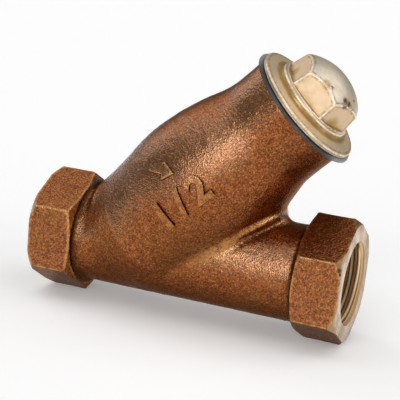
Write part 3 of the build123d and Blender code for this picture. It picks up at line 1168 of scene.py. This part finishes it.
class STRAINER_OT_screen(bpy.types.Operator):
    """Finish the screen's tube, rings and woven liner in stainless steel"""

    bl_idname = "strainer.screen"
    bl_label = "Screen"

    def execute(self, context):
        finish = context.scene.strainer_finish
        steel = screen_steel(finish)
        for name in ("screen_tube", "screen_foot_ring", "screen_head_ring"):
            refinish(name, steel)
        refinish("screen_mesh", woven_mesh(finish, context.scene.strainer_sizes))
        return {"FINISHED"}


def soft_lamp(name, strength, direction, spread):
    """A far soft lamp that shines from a direction."""
    lamp = bpy.data.lights.new(name, "SUN")
    lamp.energy = strength
    lamp.angle = spread
    holder = bpy.data.objects.new(name, lamp)
    holder.rotation_euler = direction.to_track_quat("Z", "Y").to_euler()
    bpy.context.scene.collection.objects.link(holder)


class STRAINER_OT_stage(bpy.types.Operator):
    """Set up the pale floor, the soft lamps, the world and the camera"""

    bl_idname = "strainer.stage"
    bl_label = "Stage"

    def execute(self, context):
        scene = context.scene
        studio = scene.strainer_studio
        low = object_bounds()[0]

        bm = bmesh.new()
        bmesh.ops.create_circle(bm, cap_ends=True, segments=96, radius=60)
        bmesh.ops.translate(bm, verts=bm.verts, vec=(0, 0, low[2] - 0.0001))
        mesh = bpy.data.meshes.new("floor")
        bm.to_mesh(mesh)
        bm.free()
        material, tree, surface, place = new_material("pale floor", 0.0, 0.8)
        surface.inputs["Base Color"].default_value = (0.97, 0.97, 0.97, 1)
        surface.inputs["Specular IOR Level"].default_value = 0.0
        paths = add_node(tree, "ShaderNodeLightPath").outputs
        seen = math(tree, "MAXIMUM", paths["Is Camera Ray"], math(
            tree, "MAXIMUM", paths["Is Glossy Ray"], paths["Is Transmission Ray"]))
        surface.inputs["Emission Color"].default_value = (1, 1, 1, 1)
        tree.links.new(math(tree, "MULTIPLY", seen, studio.glow),
                       surface.inputs["Emission Strength"])
        mesh.materials.append(material)
        floor = bpy.data.objects.new("floor", mesh)
        scene.collection.objects.link(floor)
        floor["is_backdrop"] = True

        world = bpy.data.worlds.new("studio")
        scene.world = world
        world.use_nodes = True
        world.node_tree.nodes["Background"].inputs["Color"].default_value = (1, 1, 1, 1)
        world.node_tree.nodes["Background"].inputs["Strength"].default_value = studio.sky
        soft_lamp("key lamp", studio.key, Vector((-0.05, -0.93, 0.35)), radians(36))
        soft_lamp("left lamp", studio.left, Vector((-0.78, 0.35, 0.50)), radians(36))
        soft_lamp("top lamp", studio.top, Vector((-0.35, -0.15, 0.92)), radians(60))
        soft_lamp("side lamp", studio.side, Vector((0.62, 0.25, 0.74)), radians(60))
        soft_lamp("outlet lamp", studio.outlet, Vector((0.80, -0.45, 0.40)), radians(40))

        right, up, back = camera_axes(studio)
        lens = bpy.data.cameras.new("camera")
        lens.sensor_fit = "HORIZONTAL"
        lens.sensor_width = 36
        lens.lens = studio.lens
        lens.clip_start = 0.01
        camera = bpy.data.objects.new("camera", lens)
        scene.collection.objects.link(camera)
        place = Matrix((right, up, back)).transposed().to_4x4()
        place.translation = Vector(studio.target) + back * studio.distance
        camera.matrix_world = place
        scene.camera = camera
        scene.view_settings.view_transform = "Standard"
        return {"FINISHED"}


class STRAINER_PT_panel(bpy.types.Panel):
    """Lists the strainer's sizes, finishes and steps"""

    bl_idname = "STRAINER_PT_panel"
    bl_label = "Strainer"
    bl_space_type = "VIEW_3D"
    bl_region_type = "UI"
    bl_category = "Strainer"

    def draw(self, context):
        for operator in OPERATORS:
            self.layout.operator(operator.bl_idname)
        for group, kind in GROUPS.items():
            box = self.layout.box()
            for name in kind.__annotations__:
                box.prop(getattr(context.scene, group), name)


OPERATORS = (
    STRAINER_OT_casting,
    STRAINER_OT_cap,
    STRAINER_OT_threads,
    STRAINER_OT_marks,
    STRAINER_OT_gasket,
    STRAINER_OT_screen,
    STRAINER_OT_stage,
)


def register():
    """Registers the settings, the steps and the panel."""
    for group, kind in GROUPS.items():
        bpy.utils.register_class(kind)
        setattr(bpy.types.Scene, group, bpy.props.PointerProperty(type=kind))
    for operator in OPERATORS:
        bpy.utils.register_class(operator)
    bpy.utils.register_class(STRAINER_PT_panel)


def unregister():
    """Takes the panel, the steps and the settings away again."""
    bpy.utils.unregister_class(STRAINER_PT_panel)
    for operator in reversed(OPERATORS):
        bpy.utils.unregister_class(operator)
    for group, kind in GROUPS.items():
        delattr(bpy.types.Scene, group)
        bpy.utils.unregister_class(kind)


def main():
    """Dresses the part."""
    register()
    bpy.ops.strainer.casting()
    bpy.ops.strainer.cap()
    bpy.ops.strainer.threads()
    bpy.ops.strainer.marks()
    bpy.ops.strainer.gasket()
    bpy.ops.strainer.screen()
    bpy.ops.strainer.stage()


if __name__ == "__main__":
    main()
